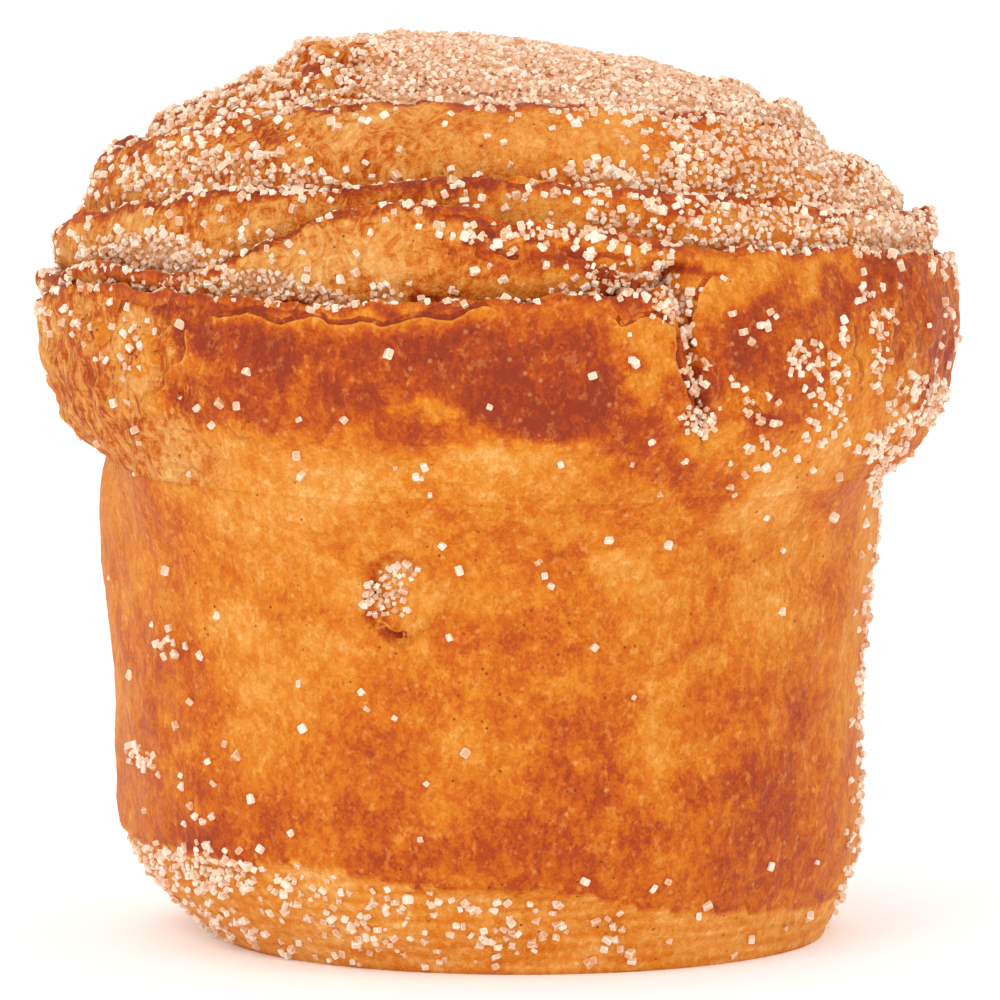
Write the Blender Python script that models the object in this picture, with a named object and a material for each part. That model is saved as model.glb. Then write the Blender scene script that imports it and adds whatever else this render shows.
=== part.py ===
"""A cruffin: a coil of laminated dough baked in a round tin and rolled in granulated sugar.

Metres, +Z up. The origin is the centre of the flat base and the cruffin's front faces -Y.
Run it with blender --background --python part.py, or from Blender's text editor.
"""

import math
import random

import bmesh
import bpy
import numpy as np
from mathutils import Euler, Matrix, Vector, noise

# Driving dimensions of the plain shape
BASE_RADIUS = 0.0336
NECK_RADIUS = 0.0359
NECK_HEIGHT = 0.0443
NECK_TILT = 0.0006  # higher on the left, lower on the right
COLLAR_RADIUS = 0.0423
COLLAR_HEIGHT = 0.0545
TOP_HEIGHT = 0.0832
DEPTH_OVER_WIDTH = 0.975  # front to back over side to side

# The base's rounded edge: wide and round on the left, narrower and straighter on the right
CORNER_HEIGHT = 0.0110
CORNER_WIDTH = 0.0057
CORNER_WIDTH_CHANGE = 0.0020
CORNER_ROUNDNESS = 1.85
CORNER_ROUNDNESS_CHANGE = 0.45

# At the front the body swells softly into the collar, with no neck
FRONT = math.radians(272)
SOFT_REACH = math.radians(78)
SOFT_FADE = math.radians(26)
SOFT_FOOT = 0.0360

# The body and the tip of the dome don't stand quite over the base
BODY_LEAN = -0.0010
TIP_LEAN = -0.0085

# The coil, from the outer wrap to the middle, going right, front and left from the back.
# Lips are its upper edges: a row of heights for each turn, at these azimuths.
BACK = math.radians(90)
LIP_AZIMUTHS = (90, 30, 0, 335, 300, 270, 250, 225, 205, 180)
LIP_HEIGHTS = (
    (0.0596, 0.0596, 0.0598, 0.0605, 0.0630, 0.0620, 0.0616, 0.0614, 0.0624, 0.0578),
    (0.0610, 0.0614, 0.0621, 0.0643, 0.0670, 0.0688, 0.0703, 0.0628, 0.0638, 0.0606),
    (0.0628, 0.0635, 0.0647, 0.0676, 0.0706, 0.0728, 0.0719, 0.0702, 0.0684, 0.0645),
    (0.0648, 0.0655, 0.0666, 0.0742, 0.0781, 0.0785, 0.0785, 0.0771, 0.0746, 0.0727),
    (0.0735, 0.0743, 0.0750, 0.0774, 0.0794, 0.0797, 0.0796, 0.0784, 0.0768, 0.0752),
    (0.0766, 0.0778, 0.0786, 0.0800, 0.0810, 0.0812, 0.0810, 0.0802, 0.0790, 0.0780),
    (0.0797, 0.0805, 0.0812, 0.0818, 0.0822, 0.0824, 0.0824, 0.0824, 0.0824, 0.0824),
)
SEAM = math.radians(294.5)  # azimuth where the outer wrap ends, in a torn seam
INNER_END = 6.3  # turns from the back, where the coil's inner end is tucked in
LEAST_LIP_GAP = 0.0014
LIP_LIFT = 0.0003
LIP_LIFT_BY_GAP = 0.16
LIP_WIDTH = 0.0022
CREVICE_WIDTH = 0.0007
CREVICE_DEPTH = 0.0026
BULGE_BY_GAP = 0.13
WRAP_BULGE_SHARE = 0.25  # the outer wrap below its lip is nearly plain
CAP_START = math.radians(56)  # latitudes where the layers flatten into the cap
CAP_END = math.radians(72)
CAP_RELIEF = 0.4
DEEP_GAP = 0.0060  # layers narrower than this have shallower crevices

# The torn seam, a groove down the collar
SEAM_TOP = 0.0660
SEAM_FOOT = 0.0485
SEAM_DEPTH = 0.0022
SEAM_HALF_WIDTH = 0.0011
SEAM_DRIFT = math.radians(4)

# The skin's lower edge, where the layers of the base show
FOLD_HEIGHT = 0.0088
FOLD_TILT = 0.0025
FOLD_STEP = 0.0006
FOLD_WIDTH = 0.0012

# A burst blister low on the front
BLISTER_AZIMUTH = math.radians(257)
BLISTER_HEIGHT = 0.0352
BLISTER_RADIUS = 0.0042
BLISTER_DEPTH = 0.0010

# Unevenness of the baked crust
LUMP_HEIGHT = 0.0008
LUMP_LENGTH = 0.0150
LIP_WOBBLE = 0.0005

# The mesh: columns round the cruffin, and rows from the base's centre to the top
COLUMNS = 88
BASE_ROWS = 2
WALL_ROWS = 14
COLLAR_ROWS = 6
DOME_ROWS = 28
ROWS = BASE_ROWS + WALL_ROWS + COLLAR_ROWS + DOME_ROWS
ROWS_PER_LIP = 3
GATHER_REACH = math.radians(12)
GATHER_SHARE = 0.6

# Sugar: only the largest crystals are solids
SUGAR_COUNT = 108
SUGAR_SIZES = (0.0010, 0.0014)
SUGAR_SPACING = 0.0034
SUGAR_SUNK = 0.22
SUGAR_REACH = 0.0405  # none at the collar's widest places
SUGAR_SEED = 7

CRUST_COLOUR = (0.70, 0.27, 0.06, 1.0)
CRUST_ROUGHNESS = 0.5

TURN = 2 * math.pi
QUARTER = math.pi / 2
DOME_RISE = TOP_HEIGHT - COLLAR_HEIGHT
DOME_SPAN = (COLLAR_RADIUS + DOME_RISE) / 2
COLLAR_SHAPE = 1.25  # exponent of the collar's underside, flatter than a quarter ellipse


def smooth(share):
    """A smooth step from 0 to 1 as share goes from 0 to 1."""
    share = min(max(share, 0.0), 1.0)
    return share * share * (3 - 2 * share)


def mix(first, second, share):
    return first + (second - first) * share


def turned_from(azimuth, centre):
    """The signed angle from centre to azimuth, from minus half a turn to half a turn."""
    return (azimuth - centre + math.pi) % TURN - math.pi


def lip_height(turns):
    """Height of the coil's lip, so many turns from the back of the outer wrap."""
    stops = []
    for turn, heights in enumerate(LIP_HEIGHTS):
        for azimuth, height in zip(LIP_AZIMUTHS, heights):
            stops.append((turn + (90 - azimuth) % 360 / 360, height))
    places, heights = zip(*stops)
    near = [turns + step / 120 for step in range(-2, 3)]
    height = float(np.interp(near, places, heights).mean())
    azimuth = BACK - turns * TURN
    around = Vector((3 * math.cos(azimuth), 3 * math.sin(azimuth), 2 * int(turns)))
    return height + LIP_WOBBLE * noise.noise(around)


def latitude_of(height):
    return math.asin(min((height - COLLAR_HEIGHT) / DOME_RISE, 0.999))


def lips_at(azimuth):
    """(latitude, strength) of each lip that a cut at this azimuth crosses, from the collar inwards."""
    past_back = (BACK - azimuth) % TURN / TURN
    seam = (BACK - SEAM) % TURN / TURN
    lips = []
    for turn in range(len(LIP_HEIGHTS)):
        turns = turn + past_back
        if turns < seam or turns > INNER_END:
            continue
        latitude = latitude_of(lip_height(turns))
        if lips:
            latitude = max(latitude, lips[-1][0] + LEAST_LIP_GAP / DOME_SPAN)
        lips.append((latitude, smooth((INNER_END - turns) * 4)))
    return lips


def layer_lift(past, gap, below, above):
    """How far the crust stands off the plain dome, at a distance past the lip below, in a layer of this gap.

    below and above are the strengths of the two lips. A strength of 0 means that there is no lip.
    """
    room = min(gap / DEEP_GAP, 1.0)
    grown = min(gap, 2 * DEEP_GAP) * (1 if below else WRAP_BULGE_SHARE)
    dropped = smooth(past / CREVICE_WIDTH) if below else 1.0
    hollow = CREVICE_DEPTH * below * room * math.exp(-max(past - CREVICE_WIDTH, 0) / (0.25 * gap))
    face = BULGE_BY_GAP * grown * math.sin(math.pi * min(past / gap, 1.0) ** 1.3)
    edge = (LIP_LIFT + LIP_LIFT_BY_GAP * grown) * above * smooth(1 - (gap - past) / (LIP_WIDTH + 0.2 * gap))
    return mix(LIP_LIFT * below, face + edge - hollow, dropped)


def cap_relief(latitude):
    return mix(1.0, CAP_RELIEF, smooth((latitude - CAP_START) / (CAP_END - CAP_START)))


def dome_section(azimuth):
    """(latitude, lift) of the dome's rows at this azimuth, with a row on each lip and one in each crevice."""
    lips = lips_at(azimuth)
    stops = [(0, 0.0, 0.0)]
    for number, (latitude, strength) in enumerate(lips):
        row = round(latitude / QUARTER * DOME_ROWS)
        row = min(row, DOME_ROWS - ROWS_PER_LIP * (len(lips) - number))
        stops.append((max(row, stops[-1][0] + ROWS_PER_LIP), latitude, strength))
    stops.append((DOME_ROWS, QUARTER, 0.0))
    section = [(0.0, 0.0)]
    for (row, latitude, below), (next_row, next_latitude, above) in zip(stops, stops[1:]):
        gap = (next_latitude - latitude) * DOME_SPAN
        start = CREVICE_WIDTH if below else 0.0
        steps = next_row - row - (1 if below else 0)
        pasts = [start + (gap - start) * step / steps for step in range(0 if below else 1, steps + 1)]
        for past in pasts:
            place = latitude + past / DOME_SPAN
            section.append((place, layer_lift(past, gap, below, above) * cap_relief(place)))
    return section


def seam_groove(azimuth, height):
    """Depth of the torn seam at a place on the collar."""
    if not SEAM_FOOT < height < SEAM_TOP:
        return 0.0
    down = (SEAM_TOP - height) / (SEAM_TOP - SEAM_FOOT)
    across = turned_from(azimuth, SEAM + SEAM_DRIFT * down) * COLLAR_RADIUS
    narrow = SEAM_HALF_WIDTH * (1.2 - down)
    return SEAM_DEPTH * (1 - down) ** 0.5 * smooth(1 - abs(across) / narrow / 1.6)


def fold_step(azimuth, height):
    """How far the layers under the skin's lower edge lie back."""
    edge = FOLD_HEIGHT - FOLD_TILT * math.cos(azimuth)
    return FOLD_STEP * smooth((edge - height) / FOLD_WIDTH) * smooth(height / 0.002)


def neck_height(azimuth):
    return NECK_HEIGHT - NECK_TILT * math.cos(azimuth)


def wall_radius(height):
    return mix(BASE_RADIUS, NECK_RADIUS, height / NECK_HEIGHT)


def corner_cut(azimuth, height):
    """How far the base's rounded edge lies inside the wall."""
    under = max(1 - height / CORNER_HEIGHT, 0.0)
    width = CORNER_WIDTH - CORNER_WIDTH_CHANGE * math.cos(azimuth)
    return width * under ** (CORNER_ROUNDNESS - CORNER_ROUNDNESS_CHANGE * math.cos(azimuth))


def base_point(azimuth, share):
    """Radius and height on the flat base, share from 0 at its centre to 1 at its edge."""
    return share * (wall_radius(0) - corner_cut(azimuth, 0)), 0.0


def swell(azimuth, height, sharp):
    """How far the crust stands out from the neck's radius, given its share where the neck is sharp."""
    softness = smooth((SOFT_REACH - abs(turned_from(azimuth, FRONT))) / SOFT_FADE)
    soft = smooth((height - SOFT_FOOT) / (COLLAR_HEIGHT - SOFT_FOOT))
    return (COLLAR_RADIUS - NECK_RADIUS) * mix(sharp, soft, softness)


def wall_point(azimuth, share):
    """Radius and height on the body's wall, share from 0 at the base to 1 at the neck."""
    height = neck_height(azimuth) * share**1.35
    return wall_radius(height) - corner_cut(azimuth, height) + swell(azimuth, height, 0.0), height


def collar_point(azimuth, share):
    """Radius and height on the collar's underside, from the neck out to its widest place."""
    angle = share * QUARTER
    height = mix(COLLAR_HEIGHT, neck_height(azimuth), max(math.cos(angle), 0.0) ** COLLAR_SHAPE)
    return NECK_RADIUS + swell(azimuth, height, math.sin(angle) ** COLLAR_SHAPE), height


def dome_point(latitude, lift):
    """Radius and height on the dome, lifted off it along its normal."""
    radius, height = COLLAR_RADIUS * math.cos(latitude), DOME_RISE * math.sin(latitude)
    normal = Vector((radius / COLLAR_RADIUS**2, height / DOME_RISE**2)).normalized()
    return radius + normal.x * lift, COLLAR_HEIGHT + height + normal.y * lift


def lean(height):
    """Sideways shift of the crust at this height."""
    body = BODY_LEAN * smooth(height / 0.012) * (1 - smooth((height - NECK_HEIGHT + 0.003) / 0.006))
    rise = max(height - COLLAR_HEIGHT, 0) / DOME_RISE
    return body + TIP_LEAN * min(rise, 1.0) ** 9


def blister_dent(azimuth, height):
    across = turned_from(azimuth, BLISTER_AZIMUTH) * NECK_RADIUS
    away = math.hypot(across, height - BLISTER_HEIGHT) / BLISTER_RADIUS
    return BLISTER_DEPTH * smooth(1.4 - away) if height < NECK_HEIGHT else 0.0


def crust_point(azimuth, row, section):
    """The place of the mesh point in this row and at this azimuth."""
    above_base, above_wall = row - BASE_ROWS, row - BASE_ROWS - WALL_ROWS
    above_collar = above_wall - COLLAR_ROWS
    if above_base <= 0:
        radius, height = base_point(azimuth, row / BASE_ROWS)
    elif above_wall <= 0:
        radius, height = wall_point(azimuth, above_base / WALL_ROWS)
    elif above_collar <= 0:
        radius, height = collar_point(azimuth, above_wall / COLLAR_ROWS)
    else:
        radius, height = dome_point(*section[above_collar])
    if above_base > 0:
        around = Vector((math.cos(azimuth), math.sin(azimuth), 0)) * radius
        around.z = height
        lump = LUMP_HEIGHT * noise.noise(around / LUMP_LENGTH) * smooth(height / 0.004)
        radius += lump * smooth(radius / 0.010)
        radius -= seam_groove(azimuth, height) + fold_step(azimuth, height) + blister_dent(azimuth, height)
    return Vector(
        (
            radius * math.cos(azimuth) + lean(height),
            radius * math.sin(azimuth) * DEPTH_OVER_WIDTH,
            height,
        )
    )


def gathered(azimuth):
    """Columns move towards the seam, so that its groove is fine enough to show."""
    away = turned_from(azimuth, SEAM + SEAM_DRIFT / 2)
    return azimuth - GATHER_SHARE * away * math.exp(-((away / GATHER_REACH) ** 2))


def make_crust():
    """A ball whose points are moved, row by row, to the cruffin's shape."""
    shape = bmesh.new()
    bmesh.ops.create_uvsphere(shape, u_segments=COLUMNS, v_segments=ROWS, radius=1)
    sections = {}
    for point in shape.verts:
        row = round((math.asin(min(max(point.co.z, -1), 1)) / math.pi + 0.5) * ROWS)
        column = round(math.atan2(point.co.y, point.co.x) / TURN * COLUMNS) % COLUMNS
        azimuth = gathered(column * TURN / COLUMNS)
        if column not in sections:
            sections[column] = dome_section(azimuth)
        point.co = crust_point(azimuth, row, sections[column])
    bmesh.ops.triangulate(shape, faces=shape.faces[:], quad_method="SHORT_EDGE")
    mesh = bpy.data.meshes.new("cruffin")
    shape.to_mesh(mesh)
    shape.free()
    crust = bpy.data.objects.new("cruffin", mesh)
    crust.data.materials.append(crust_material())
    return crust


def crust_material():
    material = bpy.data.materials.new("baked_crust")
    material.use_nodes = True
    finish = material.node_tree.nodes["Principled BSDF"]
    finish.inputs["Base Color"].default_value = CRUST_COLOUR
    finish.inputs["Roughness"].default_value = CRUST_ROUGHNESS
    finish.inputs["Metallic"].default_value = 0.0
    return material


def sugar_share(place):
    """How likely sugar is to stick here, from 0 to 1: most on the dome, little on the wall."""
    if place.z < 0.0025 or math.hypot(place.x, place.y) > SUGAR_REACH:
        return 0.0
    if place.z > 0.074:
        return 1.0
    if place.z > COLLAR_HEIGHT + 0.006:
        return 0.6
    if place.z < 0.010:
        return 0.5 if place.x < 0.005 else 0.15
    return 0.06


def make_sugar(crust, collection):
    """The largest crystals, cubes sunk a little into the crust and clear of each other."""
    draw = random.Random(SUGAR_SEED)
    faces = sorted(crust.data.polygons, key=lambda face: sorted(face.vertices))  # the same order each run
    spots = [(face.center.copy(), face.normal.copy()) for face in faces]
    draw.shuffle(spots)
    placed = []
    for place, normal in spots:
        if len(placed) == SUGAR_COUNT:
            break
        crowded = any((place - other).length < SUGAR_SPACING for other in placed)
        if crowded or draw.random() > sugar_share(place):
            continue
        placed.append(place)
        size = draw.uniform(*SUGAR_SIZES)
        turned = Euler([draw.uniform(0, TURN) for _ in range(3)]).to_matrix().to_4x4()
        where = Matrix.Translation(place + normal * size * (0.5 - SUGAR_SUNK))
        crystal = bmesh.new()
        bmesh.ops.create_cube(crystal, size=size, matrix=where @ turned)
        mesh = bpy.data.meshes.new("crystal")
        crystal.to_mesh(mesh)
        crystal.free()
        collection.objects.link(bpy.data.objects.new(f"crystal_{len(placed):03d}", mesh))


def centre(mesh):
    """Moves the mesh sideways so that its box is centred over the origin."""
    box = [[min(point.co[axis] for point in mesh.vertices), max(point.co[axis] for point in mesh.vertices)]
           for axis in (0, 1)]
    mesh.transform(Matrix.Translation((-sum(box[0]) / 2, -sum(box[1]) / 2, 0)))


def fuse(crust, collection):
    """Joins the collection's objects to the crust in one union, and removes them."""
    union = crust.modifiers.new("sugar", "BOOLEAN")
    union.operation = "UNION"
    union.operand_type = "COLLECTION"
    union.collection = collection
    union.solver = "EXACT"
    graph = bpy.context.evaluated_depsgraph_get()
    joined = bpy.data.meshes.new_from_object(crust.evaluated_get(graph))
    crust.modifiers.clear()
    crust.data = joined
    for crystal in list(collection.objects):
        bpy.data.objects.remove(crystal)
    bpy.data.collections.remove(collection)
    centre(crust.data)
    crust.data.shade_smooth()
    crust.data.set_sharp_from_angle(angle=math.radians(35))


def main():
    for old in list(bpy.data.objects):
        bpy.data.objects.remove(old)
    parts = bpy.data.collections.new("cruffin")
    sugar = bpy.data.collections.new("sugar")
    bpy.context.scene.collection.children.link(parts)
    bpy.context.scene.collection.children.link(sugar)
    crust = make_crust()
    parts.objects.link(crust)
    make_sugar(crust, sugar)
    bpy.context.view_layer.update()
    fuse(crust, sugar)


main()
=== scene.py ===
import math

import bmesh
import bpy
import numpy as np
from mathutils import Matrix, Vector, noise
from mathutils.bvhtree import BVHTree


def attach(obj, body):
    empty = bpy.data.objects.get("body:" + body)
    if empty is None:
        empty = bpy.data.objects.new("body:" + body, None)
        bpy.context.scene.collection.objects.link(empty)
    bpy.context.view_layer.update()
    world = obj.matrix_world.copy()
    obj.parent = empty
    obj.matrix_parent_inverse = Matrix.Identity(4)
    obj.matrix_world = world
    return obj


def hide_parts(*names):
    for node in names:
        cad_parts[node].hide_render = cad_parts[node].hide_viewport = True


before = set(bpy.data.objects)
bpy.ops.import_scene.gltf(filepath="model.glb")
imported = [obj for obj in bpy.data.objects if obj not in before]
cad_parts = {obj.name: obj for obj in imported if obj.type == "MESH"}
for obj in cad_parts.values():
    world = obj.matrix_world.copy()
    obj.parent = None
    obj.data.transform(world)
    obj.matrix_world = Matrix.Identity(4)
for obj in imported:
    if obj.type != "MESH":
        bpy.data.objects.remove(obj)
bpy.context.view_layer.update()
print("frame loaded:", list(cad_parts))

turn = 2 * math.pi
quarter = math.pi / 2

# Small helpers


def smooth(share):
    share = min(max(share, 0.0), 1.0)
    return share * share * (3 - 2 * share)


def mix(first, second, share):
    return first + (second - first) * share


def turnedFrom(azimuth, centre):
    return (azimuth - centre + math.pi) % turn - math.pi


def wobble(x, y, z, length, seed=0.0):  # soft noise, about -1 to 1, with lumps of this length
    return noise.noise(Vector((x / length + seed, y / length - seed, z / length + 3.7 * seed)))


def linked(name, data):  # a new object of this mesh, light or camera, in the scene
    piece = bpy.data.objects.new(name, data)
    bpy.context.scene.collection.objects.link(piece)
    return piece


def thinPiece(name, shape, thickness, offset):  # an open shape made a smooth skin
    mesh = bpy.data.meshes.new(name)
    shape.to_mesh(mesh)
    shape.free()
    mesh.shade_smooth()
    piece = linked(name, mesh)
    skin = piece.modifiers.new("skin", "SOLIDIFY")
    skin.thickness = thickness
    skin.offset = offset
    return piece


# The cruffin's form, with the same sizes as the solid

form = {
    "baseRadius": 0.0336,
    "neckRadius": 0.0359,
    "neckHeight": 0.0443,
    "neckTilt": 0.0006,
    "collarRadius": 0.0423,
    "collarHeight": 0.0545,
    "collarCurve": 1.25,
    "topHeight": 0.0832,
    "depth": 0.975,
    "shift": Vector((0.0002, -0.0001, 0)),
    "bodyLean": -0.001,
    "tipLean": -0.0085,
    "cornerHeight": 0.011,
    "cornerWidth": 0.0057,
    "cornerWidthChange": 0.002,
    "cornerRoundness": 1.85,
    "cornerRoundnessChange": 0.45,
    "front": math.radians(272),
    "softReach": math.radians(78),
    "softFade": math.radians(26),
    "softFoot": 0.036,
    # Where the dome's side is flatter: 1 for right or -1 for left, foot, top and depth
    "flats": ((-1, 0.0745, 0.0835, 0.0018), (1, 0.0675, 0.0785, 0.0021)),
    "lumpHeight": 0.0008,
    "lumpLength": 0.015,
}

# Heights of the coil's lips: one row for each turn, from the outer wrap in, at these azimuths
coil = {
    "azimuths": (90, 30, 0, 335, 300, 270, 250, 225, 205, 180),
    "heights": (
        (0.0596, 0.0596, 0.0598, 0.0605, 0.0634, 0.0628, 0.0621, 0.062, 0.062, 0.0578),
        (0.061, 0.0614, 0.0621, 0.0645, 0.0667, 0.069, 0.0704, 0.0634, 0.0634, 0.0606),
        (0.0628, 0.0645, 0.0662, 0.0682, 0.0708, 0.0726, 0.0719, 0.0706, 0.0684, 0.0645),
        (0.065, 0.0676, 0.0704, 0.075, 0.0781, 0.0784, 0.0783, 0.0768, 0.0744, 0.0712),
        (0.0728, 0.0742, 0.0763, 0.0786, 0.0799, 0.0801, 0.08, 0.0788, 0.0772, 0.0752),
        (0.0766, 0.0778, 0.0788, 0.0803, 0.0812, 0.0814, 0.0812, 0.0804, 0.0793, 0.078),
        (0.0797, 0.0805, 0.0812, 0.0818, 0.0822, 0.0824, 0.0824, 0.0824, 0.0824, 0.0824),
    ),
    "seam": math.radians(293),
    "innerEnd": 6.3,
    "leastGap": 0.0013,
    "lipLift": 0.0003,
    "lipLiftByGap": 0.14,
    "lipWidth": 0.0022,
    "creviceWidth": 0.0004,
    "creviceDepth": 0.003,
    "bulgeByGap": 0.13,
    "wrapBulge": 0.25,
    "deepGap": 0.006,
    "capStart": math.radians(42),
    "capEnd": math.radians(62),
    "capRelief": 0.3,
    "wander": 0.0005,
    "raggedHeight": 0.0004,
    "raggedLength": 0.003,
}

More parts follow.
